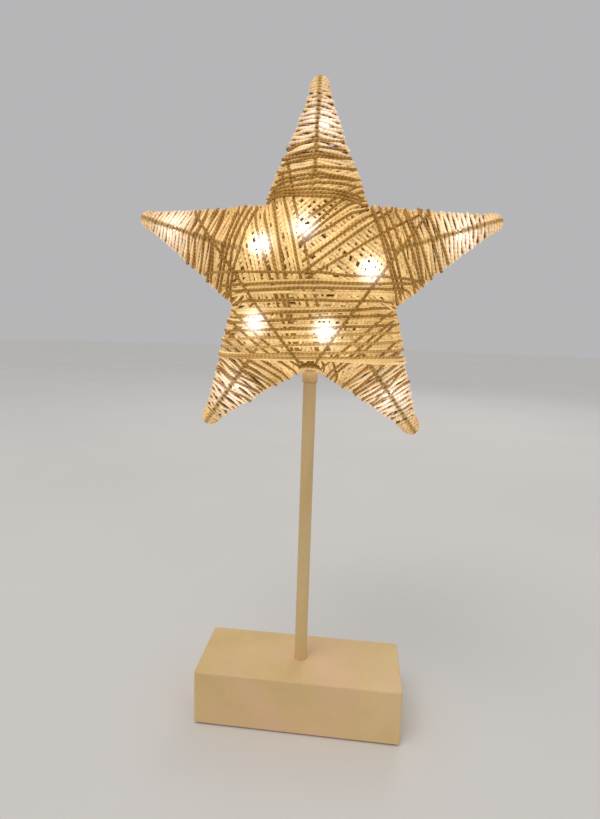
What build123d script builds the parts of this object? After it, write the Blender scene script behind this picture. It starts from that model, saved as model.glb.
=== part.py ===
"""Battery table lamp: a five-pointed wire star wound with paper cord, lit from
inside by ten LEDs, on a thin round pole that stands on a rectangular block.

Millimetres, +Z up.  Origin: centre of the footprint, on the table (Z = 0).
+X runs along the block to the right, the front of the star faces -Y.
"""
from build123d import *
from math import cos, sin, radians, pi, sqrt
import os

os.makedirs("parts", exist_ok=True)

# ------------------------------------------------------------------ base block
BASE_W = 130.0          # along X
BASE_D = 50.0           # along Y
BASE_Z0 = 1.0           # underside, held off the table by the feet
BASE_Z1 = 36.5          # top face
BASE_CORNER_R = 1.6     # vertical edges
BASE_EDGE_R = 1.2       # top edges
POCKET_W = 98.0         # routed pocket, from below
POCKET_D = 36.0
POCKET_TOP = 29.0
RABBET_W = 112.0        # shallow step that takes the tray's flange
RABBET_D = 41.2
RABBET_Z = 3.0
FOOT_R = 3.5
FOOT_H = 1.5
FOOT_XY = (60.2, 20.2)

# ------------------------------------------------------------------ tray
FLANGE_W = 111.4
FLANGE_D = 40.6
BAY_X0, BAY_X1 = -44.5, 11.5      # inside of the battery bay
BAY_HALF_Y = 15.2
BAY_ROOF = 17.9
WALL = 1.5
TRAY_SCREW_XY = (52.4, 14.0)

# ------------------------------------------------------------------ door
HINGE_X, HINGE_Z = -47.0, 2.1
BARREL_R = 0.9
DOOR_X0, DOOR_X1 = -45.7, 13.3
DOOR_HALF_Y = 16.8
REBATE_X0 = -46.5                       # leaves room for the door's edge as it swings about the hinge
DOOR_T = 1.2

# ------------------------------------------------------------------ cells
CELL_R = 7.1
CELL_Y = 7.5
CELL_Z = 10.5
CELL_L = 50.0

# ------------------------------------------------------------------ board and switch
BOARD_X, BOARD_W, BOARD_D = 31.5, 30.0, 28.0
BOARD_Z0, BOARD_T = 8.6, 1.2
SWITCH_X = 32.0
SWITCH_TRAVEL = 4.0     # ON (rest) - OFF - TIMER, 2 mm a step

# ------------------------------------------------------------------ pole
POLE_R = 4.0
POLE_BORE_R = 3.0
POLE_Z0 = 33.0
POLE_Z1 = 219.7
NIPPLE_R = 2.95
NIPPLE_BORE_R = 1.7
COLLAR_R = 4.7
COLLAR_Z1 = 226.3
STEM_R = 2.95
STEM_BORE_R = 2.2
STEM_Z0 = 204.0
STEM_Z1 = 230.72         # meets the outline wire at the lowest notch

# ------------------------------------------------------------------ star
STAR_Z = 281.0          # height of its centre
TIP_R = 120.5           # outline corner radius from the centre, before rounding
NOTCH_R = 51.2
TIP_ROUND = 5.7         # rounding of the tips, over the cord
EDGE_HALF = 3.6         # half thickness at the outline, over the cord
APEX_Y = 28.9           # half depth at the middle, over the cord
CORD_T = 2.2            # thickness of the winding
WIRE_R = 0.9            # steel frame wire, 1.8 mm
LED_R, LED_L = 2.2, 7.0
STRING_R = 0.45
LEAD_R = 0.6

STAR_PLANE = Plane(origin=(0, 0, STAR_Z), x_dir=(1, 0, 0), z_dir=(0, -1, 0))

# distance from the centre to an edge of the outline, and the arm's narrowing
_nx, _na = NOTCH_R * sin(radians(36)), NOTCH_R * cos(radians(36))
EDGE_DIST = TIP_R * _nx / sqrt(_nx ** 2 + (TIP_R - _na) ** 2)
SLOPE = (APEX_Y - EDGE_HALF) / EDGE_DIST


def star_profile(plane, inset, tip_round, notch_round=0.0):
    """The star outline, moved inward by inset, with rounded tips."""
    k = (EDGE_DIST - inset) / EDGE_DIST
    pts = []
    for i in range(5):
        a = radians(90 + 72 * i)
        pts.append((k * TIP_R * cos(a), k * TIP_R * sin(a)))
        a += radians(36)
        pts.append((k * NOTCH_R * cos(a), k * NOTCH_R * sin(a)))
    with BuildSketch(plane) as profile:
        with BuildLine():
            Polyline(*pts, close=True)
        make_face()
        fillet(profile.vertices().sort_by(SortBy.DISTANCE)[-5:], tip_round)
        if notch_round:
            fillet(profile.vertices().sort_by(SortBy.DISTANCE)[:5], notch_round)
    return profile.sketch


def star_point(radius, degrees, y=0.0):
    a = radians(degrees)
    return (radius * cos(a), y, STAR_Z + radius * sin(a))


# ================================================================== base
with BuildPart() as base_block:
    with BuildSketch(Plane.XY.offset(BASE_Z0)):
        RectangleRounded(BASE_W, BASE_D, BASE_CORNER_R)
    extrude(amount=BASE_Z1 - BASE_Z0)
    fillet(base_block.faces().sort_by(Axis.Z)[-1].edges(), BASE_EDGE_R)
    chamfer(base_block.faces().sort_by(Axis.Z)[0].edges(), 0.5)
    with BuildSketch(Plane.XY.offset(BASE_Z0)):
        RectangleRounded(POCKET_W, POCKET_D, 4.0)
    extrude(amount=POCKET_TOP - BASE_Z0, mode=Mode.SUBTRACT)
    with BuildSketch(Plane.XY.offset(BASE_Z0)):
        RectangleRounded(RABBET_W, RABBET_D, 3.0)
    extrude(amount=RABBET_Z - BASE_Z0, mode=Mode.SUBTRACT)
    with BuildSketch(Plane.XY.offset(POCKET_TOP - 1)):
        Circle(3.2)
    extrude(amount=20, mode=Mode.SUBTRACT)
    with BuildSketch(Plane.XY.offset(POLE_Z0)):
        Circle(POLE_R + 0.05)
    extrude(amount=20, mode=Mode.SUBTRACT)
    with BuildSketch(Plane.XY.offset(RABBET_Z)):
        with GridLocations(2 * TRAY_SCREW_XY[0], 2 * TRAY_SCREW_XY[1], 2, 2):
            Circle(1.1)
    extrude(amount=9.0, mode=Mode.SUBTRACT)
    with BuildSketch(Plane.XY.offset(BASE_Z0)):
        with GridLocations(2 * FOOT_XY[0], 2 * FOOT_XY[1], 2, 2):
            Circle(FOOT_R + 0.05)
    extrude(amount=0.5, mode=Mode.SUBTRACT)

with BuildPart() as feet:
    with BuildSketch(Plane.XY):
        with GridLocations(2 * FOOT_XY[0], 2 * FOOT_XY[1], 2, 2):
            Circle(FOOT_R)
    extrude(amount=FOOT_H)
    chamfer(feet.edges().group_by(Axis.Z)[0], 0.3)

# ================================================================== battery tray
BAY_W = BAY_X1 - BAY_X0
BAY_CX = (BAY_X0 + BAY_X1) / 2
with BuildPart() as battery_tray:
    with BuildSketch(Plane.XY.offset(BASE_Z0)):
        RectangleRounded(FLANGE_W, FLANGE_D, 2.7)
    extrude(amount=RABBET_Z - BASE_Z0)
    # battery bay: walls and roof
    with BuildSketch(Plane.XY.offset(RABBET_Z)):
        with Locations((BAY_CX, 0)):
            RectangleRounded(BAY_W + 2 * WALL, 2 * (BAY_HALF_Y + WALL), 1.5)
    extrude(amount=BAY_ROOF + WALL - RABBET_Z)
    with BuildSketch(Plane.XY.offset(BASE_Z0)):
        with Locations((BAY_CX, 0)):
            Rectangle(BAY_W, 2 * BAY_HALF_Y)
    extrude(amount=BAY_ROOF - BASE_Z0, mode=Mode.SUBTRACT)
    # rebate for the door, with the two hinge sockets
    with BuildSketch(Plane.XY.offset(BASE_Z0)):
        with Locations(((REBATE_X0 + 13.5) / 2, 0)):
            Rectangle(13.5 - REBATE_X0, 2 * (DOOR_HALF_Y + 0.2))
    extrude(amount=DOOR_T, mode=Mode.SUBTRACT)
    with BuildSketch(Plane.XY.offset(BASE_Z0)):
        with Locations((-47.0, -10), (-47.0, 10)):
            Rectangle(2.6, 6.0)
    extrude(amount=3, mode=Mode.SUBTRACT)
    # passage for the door's latch, and a finger notch beside it
    with BuildSketch(Plane.XY.offset(BASE_Z0)):
        with Locations((12.6, 0)):
            Rectangle(1.8, 9.2)
    extrude(amount=5.0, mode=Mode.SUBTRACT)
    with BuildSketch(Plane.XY.offset(BASE_Z0)):
        with Locations((14.5, 0)):
            RectangleRounded(6.0, 12.0, 2.5)
    extrude(amount=1.1, mode=Mode.SUBTRACT)
    # slots for the terminal tags
    with BuildSketch(Plane.YZ.offset(BAY_X1 - 0.5)):
        with Locations((-CELL_Y, 12.0), (CELL_Y, 12.0)):
            Rectangle(2.4, 0.9)
    extrude(amount=WALL + 1, mode=Mode.SUBTRACT)
    # posts for the circuit board
    with BuildSketch(Plane.XY.offset(RABBET_Z)):
        with Locations((BOARD_X - 12, -11), (BOARD_X + 12, 11), (BOARD_X - 12, 11), (BOARD_X + 12, -11)):
            Circle(2.4)
    extrude(amount=BOARD_Z0 - RABBET_Z)
    with BuildSketch(Plane.XY.offset(BOARD_Z0)):
        with Locations((BOARD_X - 12, -11), (BOARD_X + 12, 11)):
            Circle(0.9)
    extrude(amount=-4.4, mode=Mode.SUBTRACT)
    # dished slot for the switch knob
    with BuildSketch(Plane.XY.offset(BASE_Z0)):
        with Locations((SWITCH_X, 0)):
            RectangleRounded(18.0, 9.0, 3.0)
    extrude(amount=1.0, mode=Mode.SUBTRACT)
    with BuildSketch(Plane.XY.offset(BASE_Z0)):
        with Locations((SWITCH_X, 0)):
            Rectangle(7.8, 3.2)
    extrude(amount=3, mode=Mode.SUBTRACT)
    # countersunk screw holes
    with Locations(Plane.XY.offset(BASE_Z0).rotated((180, 0, 0))):
        with GridLocations(2 * TRAY_SCREW_XY[0], 2 * TRAY_SCREW_XY[1], 2, 2):
            CounterSinkHole(radius=1.2, counter_sink_radius=2.25, counter_sink_angle=90)

with BuildPart() as tray_screws:
    with BuildSketch(Plane.XY.offset(RABBET_Z - 1.0)):
        with GridLocations(2 * TRAY_SCREW_XY[0], 2 * TRAY_SCREW_XY[1], 2, 2):
            Circle(1.1)
    extrude(amount=9.0)
    with GridLocations(2 * TRAY_SCREW_XY[0], 2 * TRAY_SCREW_XY[1], 2, 2):
        with Locations((0, 0, BASE_Z0 + 0.15 + 0.5)):
            Cone(bottom_radius=2.05, top_radius=1.1, height=1.0)
    with BuildSketch(Plane.XY.offset(BASE_Z0)):
        with GridLocations(2 * TRAY_SCREW_XY[0], 2 * TRAY_SCREW_XY[1], 2, 2):
            Rectangle(2.4, 0.5)
            Rectangle(0.5, 2.4)
    extrude(amount=0.75, mode=Mode.SUBTRACT)

# ================================================================== battery door
with BuildPart() as battery_door:
    with BuildSketch(Plane.XY.offset(BASE_Z0)):
        with Locations(((DOOR_X0 + DOOR_X1) / 2, 0)):
            Rectangle(DOOR_X1 - DOOR_X0, 2 * DOOR_HALF_Y)
    extrude(amount=DOOR_T)
    fillet(battery_door.edges().filter_by(Axis.Z).sort_by(Axis.X)[-2:], 1.2)
    # grip ribs near the free end
    with BuildSketch(Plane.XY.offset(BASE_Z0)):
        with Locations((5.0, 0), (7.0, 0), (9.0, 0)):
            Rectangle(0.7, 12.0)
    extrude(amount=0.4, mode=Mode.SUBTRACT)
    # hinge webs and barrels
    with BuildSketch(Plane.XY.offset(HINGE_Z - BARREL_R)):
        with Locations(((HINGE_X + DOOR_X0 + 0.3) / 2, -10), ((HINGE_X + DOOR_X0 + 0.3) / 2, 10)):
            Rectangle(DOOR_X0 + 0.3 - HINGE_X, 5.4)
    extrude(amount=1.0)
    with BuildSketch(Plane.XZ.offset(-12.7)):
        with Locations((HINGE_X, HINGE_Z)):
            Circle(BARREL_R)
    extrude(amount=5.4)
    with BuildSketch(Plane.XZ.offset(7.3)):
        with Locations((HINGE_X, HINGE_Z)):
            Circle(BARREL_R)
    extrude(amount=5.4)
    # latch tongue
    with BuildSketch(Plane.XY.offset(BASE_Z0 + DOOR_T - 0.2)):
        with Locations((12.4, 0)):
            Rectangle(0.9, 8.0)
    extrude(amount=2.9)

# ================================================================== cells and contacts
with BuildPart() as aa_cells:
    # front cell, its positive end to the left
    with BuildSketch(Plane.YZ.offset(-42.85)):
        with Locations((-CELL_Y, CELL_Z)):
            Circle(CELL_R)
    extrude(amount=48.8)
    fillet(aa_cells.edges().filter_by(GeomType.CIRCLE), 0.5)
    with BuildSketch(Plane.YZ.offset(-44.05)):
        with Locations((-CELL_Y, CELL_Z)):
            Circle(2.7)
    extrude(amount=1.4)
    # rear cell, its positive end to the right
    with BuildSketch(Plane.YZ.offset(-38.95)):
        with Locations((CELL_Y, CELL_Z)):
            Circle(CELL_R)
    extrude(amount=48.8)
    with BuildSketch(Plane.YZ.offset(9.65)):
        with Locations((CELL_Y, CELL_Z)):
            Circle(2.7)
    extrude(amount=1.4)

with BuildPart() as contact_plates:
    with BuildSketch(Plane.YZ.offset(BAY_X0)):
        with Locations((0, CELL_Z)):
            Rectangle(26.0, 11.0)
    extrude(amount=0.4)
    with BuildSketch(Plane.YZ.offset(BAY_X1 - 0.4)):
        with Locations((-CELL_Y, CELL_Z), (CELL_Y, CELL_Z)):
            Rectangle(10.6, 11.0)
    extrude(amount=0.4)
    with BuildSketch(Plane.YZ.offset(BAY_X1 - 0.4)):
        with Locations((-CELL_Y, 12.0), (CELL_Y, 12.0)):
            Rectangle(2.0, 0.4)
    extrude(amount=4.6)

with BuildPart() as contact_springs:
    with BuildLine() as front_coil:
        Helix(pitch=1.45, height=4.35, radius=3.9, center=(6.35, -CELL_Y, CELL_Z), direction=(1, 0, 0))
    with BuildSketch(Plane(origin=front_coil.line @ 0, z_dir=front_coil.line % 0)):
        Circle(0.35)
    sweep(path=front_coil.line, is_frenet=True)
    with BuildLine() as rear_coil:
        Helix(pitch=1.45, height=4.35, radius=3.9, center=(-43.7, CELL_Y, CELL_Z), direction=(1, 0, 0))
    with BuildSketch(Plane(origin=rear_coil.line @ 0, z_dir=rear_coil.line % 0)):
        Circle(0.35)
    sweep(path=rear_coil.line, is_frenet=True)

# ================================================================== circuit board and switch
with BuildPart() as circuit_board:
    with BuildSketch(Plane.XY.offset(BOARD_Z0)):
        with Locations((BOARD_X, 0)):
            RectangleRounded(BOARD_W, BOARD_D, 1.0)
    extrude(amount=BOARD_T)
    with BuildSketch(Plane.XY.offset(BOARD_Z0)):
        with Locations((BOARD_X - 12, -11), (BOARD_X + 12, 11)):
            Circle(1.1)
    extrude(amount=BOARD_T, mode=Mode.SUBTRACT)

with BuildPart() as board_screws:
    with BuildSketch(Plane.XY.offset(BOARD_Z0 - 4.2)):
        with Locations((BOARD_X - 12, -11), (BOARD_X + 12, 11)):
            Circle(0.9)
    extrude(amount=4.2 + BOARD_T)
    with BuildSketch(Plane.XY.offset(BOARD_Z0 + BOARD_T)):
        with Locations((BOARD_X - 12, -11), (BOARD_X + 12, 11)):
            Circle(1.9)
    extrude(amount=1.3)
    fillet(board_screws.edges().filter_by(GeomType.CIRCLE).group_by(Axis.Z)[-1], 0.6)
    with BuildSketch(Plane.XY.offset(BOARD_Z0 + BOARD_T + 1.3)):
        with Locations((BOARD_X - 12, -11), (BOARD_X + 12, 11)):
            Rectangle(2.0, 0.4)
            Rectangle(0.4, 2.0)
    extrude(amount=-0.7, mode=Mode.SUBTRACT)

with BuildPart() as timer_chip:
    with BuildSketch(Plane.XY.offset(BOARD_Z0 + BOARD_T + 0.15)):
        with Locations((38.0, -5.0)):
            Rectangle(4.9, 3.9)
    extrude(amount=1.4)
    chamfer(timer_chip.faces().sort_by(Axis.Z)[-1].edges(), 0.2)
    with BuildSketch(Plane.XY.offset(BOARD_Z0 + BOARD_T)):
        with Locations((38.0, -5.0)):
            with GridLocations(1.27, 5.2, 4, 2):
                Rectangle(0.42, 1.6)
    extrude(amount=0.35)

with BuildPart() as resistor:
    with BuildSketch(Plane.YZ.offset(24.0)):
        with Locations((7.0, BOARD_Z0 + BOARD_T + 1.6)):
            Circle(1.15)
    extrude(amount=6.4)
    fillet(resistor.edges().filter_by(GeomType.CIRCLE), 0.45)
    with BuildLine() as resistor_leg:
        Polyline((22.2, 7.0, BOARD_Z0 + BOARD_T), (22.2, 7.0, BOARD_Z0 + BOARD_T + 1.6),
                 (32.2, 7.0, BOARD_Z0 + BOARD_T + 1.6), (32.2, 7.0, BOARD_Z0 + BOARD_T))
        fillet(resistor_leg.vertices().sort_by(Axis.X).group_by(Axis.Z)[-1], 0.6)
    with BuildSketch(Plane(origin=(22.2, 7.0, BOARD_Z0 + BOARD_T), z_dir=(0, 0, 1))):
        Circle(0.28)
    sweep(path=resistor_leg.line)

with BuildPart() as switch_housing:
    with BuildSketch(Plane.XY.offset(3.6)):
        with Locations((SWITCH_X, 0)):
            Rectangle(12.6, 6.6)
    extrude(amount=BOARD_Z0 - 3.6)
    fillet(switch_housing.edges().filter_by(Axis.Z), 0.5)
    with BuildSketch(Plane.XY.offset(4.6)):
        with Locations((SWITCH_X, 0)):
            Rectangle(11.6, 4.0)
    extrude(amount=2.4, mode=Mode.SUBTRACT)
    with BuildSketch(Plane.XY.offset(3.6)):
        with Locations((SWITCH_X, 0)):
            Rectangle(7.4, 2.9)
    extrude(amount=1.2, mode=Mode.SUBTRACT)

with BuildPart() as switch_slider:
    with BuildSketch(Plane.XY.offset(4.8)):
        with Locations((SWITCH_X - SWITCH_TRAVEL / 2, 0)):
            Rectangle(7.0, 3.6)
    extrude(amount=2.0)
    with BuildSketch(Plane.XY.offset(1.3)):
        with Locations((SWITCH_X - SWITCH_TRAVEL / 2, 0)):
            Rectangle(3.0, 2.4)
    extrude(amount=3.6)
    with BuildSketch(Plane.XY.offset(1.3)):
        with Locations((SWITCH_X - SWITCH_TRAVEL / 2, 0)):
            with GridLocations(0.9, 0, 3, 1):
                Rectangle(0.3, 2.4)
    extrude(amount=0.3, mode=Mode.SUBTRACT)

with BuildPart() as battery_leads:
    for side in (-1, 1):
        with BuildLine() as battery_lead:
            Spline((15.7, side * CELL_Y, 12.9), (16.6, side * CELL_Y, 13.9), (18.2, side * CELL_Y, 12.6),
                   (18.6, side * CELL_Y, BOARD_Z0 + BOARD_T), tangents=[(0.2, 0, 1), (0, 0, -1)])
        with BuildSketch(Plane(origin=battery_lead.line @ 0, z_dir=battery_lead.line % 0)):
            Circle(0.6)
        sweep(path=battery_lead.line)

# ================================================================== pole
with BuildPart() as pole:
    with BuildSketch(Plane.XY.offset(POLE_Z0)):
        Circle(POLE_R)
        Circle(POLE_BORE_R, mode=Mode.SUBTRACT)
    extrude(amount=POLE_Z1 - POLE_Z0)
    chamfer(pole.edges().filter_by(GeomType.CIRCLE).group_by(Axis.Z)[-1].sort_by(SortBy.RADIUS)[-1], 0.3)

with BuildPart() as pole_nipple:
    with BuildSketch(Plane.XY.offset(23.3)):
        Circle(NIPPLE_R)
        Circle(NIPPLE_BORE_R, mode=Mode.SUBTRACT)
    extrude(amount=50.0 - 23.3)

with BuildPart() as pole_washer:
    with BuildSketch(Plane.XY.offset(POCKET_TOP - 1.0)):
        Circle(7.0)
        Circle(3.2, mode=Mode.SUBTRACT)
    extrude(amount=1.0)

with BuildPart() as pole_nut:
    with BuildSketch(Plane.XY.offset(POCKET_TOP - 5.0)):
        RegularPolygon(radius=5.0, side_count=6, major_radius=False)
        Circle(3.0, mode=Mode.SUBTRACT)
    extrude(amount=4.0)

with BuildPart() as pole_collar:
    with BuildSketch(Plane.XY.offset(POLE_Z1)):
        Circle(COLLAR_R)
        Circle(STEM_R + 0.05, mode=Mode.SUBTRACT)
    extrude(amount=COLLAR_Z1 - POLE_Z1)
    fillet(pole_collar.edges().filter_by(GeomType.CIRCLE).sort_by(SortBy.RADIUS)[-2:], 0.6)

with BuildPart() as frame_stem:
    with BuildSketch(Plane.XY.offset(STEM_Z0)):
        Circle(STEM_R)
        Circle(STEM_BORE_R, mode=Mode.SUBTRACT)
    extrude(amount=STEM_Z1 - STEM_Z0)

# ================================================================== star frame
WIRE_INSET = CORD_T + WIRE_R + 0.25
outline_path = star_profile(STAR_PLANE, WIRE_INSET, TIP_ROUND - WIRE_INSET, 1.6)
outline_wire = outline_path.face().outer_wire()

with BuildPart() as frame_outline:
    with BuildSketch(Plane(origin=outline_wire @ 0, z_dir=outline_wire % 0)):
        Circle(WIRE_R)
    sweep(path=outline_wire)

RIDGE_END_R = 106.3
RIDGE_END_Y = 1.56
RIDGE_APEX_Y = 25.0
with BuildPart() as front_ridges:
    for i in range(5):
        tip = Vector(*star_point(RIDGE_END_R, 90 + 72 * i, -RIDGE_END_Y))
        apex = Vector(0, -RIDGE_APEX_Y, STAR_Z)
        with BuildSketch(Plane(origin=tip, z_dir=(apex - tip).normalized())):
            Circle(WIRE_R)
        extrude(amount=(apex - tip).length)
    with Locations((0, -RIDGE_APEX_Y + 0.3, STAR_Z)):
        Sphere(1.35)

with BuildPart() as back_ridges:
    for i in range(5):
        tip = Vector(*star_point(RIDGE_END_R, 90 + 72 * i, RIDGE_END_Y))
        apex = Vector(0, RIDGE_APEX_Y, STAR_Z)
        with BuildSketch(Plane(origin=tip, z_dir=(apex - tip).normalized())):
            Circle(WIRE_R)
        extrude(amount=(apex - tip).length)
    with Locations((0, RIDGE_APEX_Y - 0.3, STAR_Z)):
        Sphere(1.35)

# ================================================================== light string
LEDS = [  # x, y, z of each lamp, from the star's centre, in order along the string
    (9.5, -5.0, -30.0),
    (47.0, 0.0, -66.0),
    (32.5, -9.5, 3.5),
    (82.0, 0.0, 26.0),
    (2.5, 0.0, 84.0),
    (-4.0, -11.0, 25.0),
    (-28.0, -8.5, 15.5),
    (-83.0, 0.0, 28.0),
    (-31.0, -6.0, -27.0),
    (-46.0, 0.0, -64.0),
]
ROUTE = [  # via points of the wire between the lamps, from the star's centre
    (0.0, 1.55, -41.0),
    (1.5, 1.0, -36.0),
    LEDS[0],
    (24.0, -3.0, -38.0),
    (40.0, -2.5, -58.0),
    LEDS[1],
    (45.5, 3.0, -56.0),
    (34.0, -1.0, -24.0),
    LEDS[2],
    (48.0, -3.0, 16.0),
    (74.0, -2.5, 25.5),
    LEDS[3],
    (75.0, 3.5, 20.0),
    (34.0, 6.0, 24.0),
    (12.0, 3.0, 50.0),
    (6.0, 2.5, 76.0),
    LEDS[4],
    (-1.5, -3.0, 76.0),
    (-4.0, -4.0, 50.0),
    LEDS[5],
    (-16.0, -7.0, 14.0),
    LEDS[6],
    (-54.0, -2.5, 22.0),
    (-76.0, -2.5, 30.0),
    LEDS[7],
    (-77.0, 3.5, 23.0),
    (-46.0, 4.0, 4.0),
    LEDS[8],
    (-38.0, -2.0, -46.0),
    LEDS[9],
]


def from_centre(p):
    return (p[0], p[1], STAR_Z + p[2])


with BuildLine() as string_path:
    Spline(*[from_centre(p) for p in ROUTE])
string_edge = string_path.edge()

with BuildPart() as led_string:
    with BuildSketch(Plane(origin=string_path.line @ 0, z_dir=string_path.line % 0)):
        Circle(STRING_R)
    sweep(path=string_path.line)

with BuildPart() as led_bulbs:
    for lamp in LEDS:
        spot = Vector(*from_centre(lamp))
        along = string_edge.tangent_at(string_edge.param_at_point(spot))
        with BuildSketch(Plane(origin=spot - along * (LED_L / 2 - LED_R), z_dir=along)):
            Circle(LED_R)
        extrude(amount=LED_L - 2 * LED_R)
        with Locations(spot - along * (LED_L / 2 - LED_R), spot + along * (LED_L / 2 - LED_R)):
            Sphere(LED_R)

with BuildPart() as lead_wire:
    with BuildLine() as lead_path:
        up = Line((18.0, 0.9, BOARD_Z0 + BOARD_T), (18.0, 0.9, 18.1))
        over = ThreePointArc(
            up @ 1, (18.0 - 2.5 * (1 - cos(pi / 4)), 0.9, 18.1 + 2.5 * sin(pi / 4)), (15.5, 0.9, 20.6))
        across = Line(over @ 1, (2.5, 0.9, 20.6))
        turn = ThreePointArc(
            across @ 1, (2.5 - 2.5 * sin(pi / 4), 0.9, 20.6 + 2.5 * (1 - cos(pi / 4))), (0.0, 0.9, 23.1))
        rise = Line(turn @ 1, (0.0, 0.9, 120.0))
        drift = Spline(rise @ 1, (0.0, 1.55, 195.0), tangents=[(0, 0, 1), (0, 0, 1)])
        Line(drift @ 1, (0.0, 1.55, STAR_Z - 41.0))
    with BuildSketch(Plane(origin=(18.0, 0.9, BOARD_Z0 + BOARD_T), z_dir=(0, 0, 1))):
        Circle(LEAD_R)
    sweep(path=lead_path.wire())

# ================================================================== cord windings
outer_mid = star_profile(STAR_PLANE, 0.0, TIP_ROUND)
outer_front = star_profile(STAR_PLANE.offset(EDGE_HALF), 0.0, TIP_ROUND)
outer_back = star_profile(STAR_PLANE.offset(-EDGE_HALF), 0.0, TIP_ROUND)
with BuildPart() as winding_outer:
    extrude(outer_mid, amount=EDGE_HALF, both=True)
    loft(sections=[outer_front.face(), Vertex(0, -APEX_Y, STAR_Z)], ruled=True)
    loft(sections=[outer_back.face(), Vertex(0, APEX_Y, STAR_Z)], ruled=True)

INNER_HALF = EDGE_HALF - 1.25
INNER_APEX = INNER_HALF + SLOPE * (EDGE_DIST - CORD_T)
inner_mid = star_profile(STAR_PLANE, CORD_T, TIP_ROUND - CORD_T)
inner_front = star_profile(STAR_PLANE.offset(INNER_HALF), CORD_T, TIP_ROUND - CORD_T)
inner_back = star_profile(STAR_PLANE.offset(-INNER_HALF), CORD_T, TIP_ROUND - CORD_T)
with BuildPart() as winding_inner:
    extrude(inner_mid, amount=INNER_HALF, both=True)
    loft(sections=[inner_front.face(), Vertex(0, -INNER_APEX, STAR_Z)], ruled=True)
    loft(sections=[inner_back.face(), Vertex(0, INNER_APEX, STAR_Z)], ruled=True)

with BuildPart() as winding_shell:
    add(winding_outer.part)
    add(winding_inner.part, mode=Mode.SUBTRACT)
    with BuildSketch(Plane.XY.offset(COLLAR_Z1 - 4)):
        Circle(STEM_R + 0.25)
    extrude(amount=14.0, mode=Mode.SUBTRACT)

ARM_AT = NOTCH_R * cos(radians(36))     # where an arm begins, along its axis


def arm_plane(i):
    """Plane across the root of arm i (0 is the top one), facing its tip."""
    a = radians(90 + 72 * i)
    return Plane(origin=star_point(ARM_AT, 90 + 72 * i), x_dir=(0, 1, 0), z_dir=(cos(a), 0, sin(a)))


with BuildPart() as twine_arm_top:
    add(winding_shell.part)
    split(bisect_by=arm_plane(0), keep=Keep.TOP)

with BuildPart() as twine_arm_left:
    add(winding_shell.part)
    split(bisect_by=arm_plane(1), keep=Keep.TOP)

with BuildPart() as twine_arm_lower_left:
    add(winding_shell.part)
    split(bisect_by=arm_plane(2), keep=Keep.TOP)

with BuildPart() as twine_arm_lower_right:
    add(winding_shell.part)
    split(bisect_by=arm_plane(3), keep=Keep.TOP)

with BuildPart() as twine_arm_right:
    add(winding_shell.part)
    split(bisect_by=arm_plane(4), keep=Keep.TOP)

with BuildPart() as twine_body:
    add(winding_shell.part)
    for i in range(5):
        split(bisect_by=arm_plane(i), keep=Keep.BOTTOM)

# ================================================================== export
base_block.part.label = "base_block"
export_step(base_block.part, "parts/base_block.step")
feet.part.label = "feet"
export_step(feet.part, "parts/feet.step")
battery_tray.part.label = "battery_tray"
export_step(battery_tray.part, "parts/battery_tray.step")
tray_screws.part.label = "tray_screws"
export_step(tray_screws.part, "parts/tray_screws.step")
battery_door.part.label = "battery_door"
export_step(battery_door.part, "parts/battery_door.step")
aa_cells.part.label = "aa_cells"
export_step(aa_cells.part, "parts/aa_cells.step")
contact_plates.part.label = "contact_plates"
export_step(contact_plates.part, "parts/contact_plates.step")
contact_springs.part.label = "contact_springs"
export_step(contact_springs.part, "parts/contact_springs.step")
circuit_board.part.label = "circuit_board"
export_step(circuit_board.part, "parts/circuit_board.step")
board_screws.part.label = "board_screws"
export_step(board_screws.part, "parts/board_screws.step")
timer_chip.part.label = "timer_chip"
export_step(timer_chip.part, "parts/timer_chip.step")
resistor.part.label = "resistor"
export_step(resistor.part, "parts/resistor.step")
switch_housing.part.label = "switch_housing"
export_step(switch_housing.part, "parts/switch_housing.step")
switch_slider.part.label = "switch_slider"
export_step(switch_slider.part, "parts/switch_slider.step")
battery_leads.part.label = "battery_leads"
export_step(battery_leads.part, "parts/battery_leads.step")
pole.part.label = "pole"
export_step(pole.part, "parts/pole.step")
pole_nipple.part.label = "pole_nipple"
export_step(pole_nipple.part, "parts/pole_nipple.step")
pole_washer.part.label = "pole_washer"
export_step(pole_washer.part, "parts/pole_washer.step")
pole_nut.part.label = "pole_nut"
export_step(pole_nut.part, "parts/pole_nut.step")
pole_collar.part.label = "pole_collar"
export_step(pole_collar.part, "parts/pole_collar.step")
frame_stem.part.label = "frame_stem"
export_step(frame_stem.part, "parts/frame_stem.step")
frame_outline.part.label = "frame_outline"
export_step(frame_outline.part, "parts/frame_outline.step")
front_ridges.part.label = "front_ridges"
export_step(front_ridges.part, "parts/front_ridges.step")
back_ridges.part.label = "back_ridges"
export_step(back_ridges.part, "parts/back_ridges.step")
led_string.part.label = "led_string"
export_step(led_string.part, "parts/led_string.step")
led_bulbs.part.label = "led_bulbs"
export_step(led_bulbs.part, "parts/led_bulbs.step")
lead_wire.part.label = "lead_wire"
export_step(lead_wire.part, "parts/lead_wire.step")
twine_arm_top.part.label = "twine_arm_top"
export_step(twine_arm_top.part, "parts/twine_arm_top.step")
twine_arm_left.part.label = "twine_arm_left"
export_step(twine_arm_left.part, "parts/twine_arm_left.step")
twine_arm_right.part.label = "twine_arm_right"
export_step(twine_arm_right.part, "parts/twine_arm_right.step")
twine_arm_lower_left.part.label = "twine_arm_lower_left"
export_step(twine_arm_lower_left.part, "parts/twine_arm_lower_left.step")
twine_arm_lower_right.part.label = "twine_arm_lower_right"
export_step(twine_arm_lower_right.part, "parts/twine_arm_lower_right.step")
twine_body.part.label = "twine_body"
export_step(twine_body.part, "parts/twine_body.step")
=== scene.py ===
import math
import bpy
import numpy as np
from mathutils import Matrix, Vector


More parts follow.
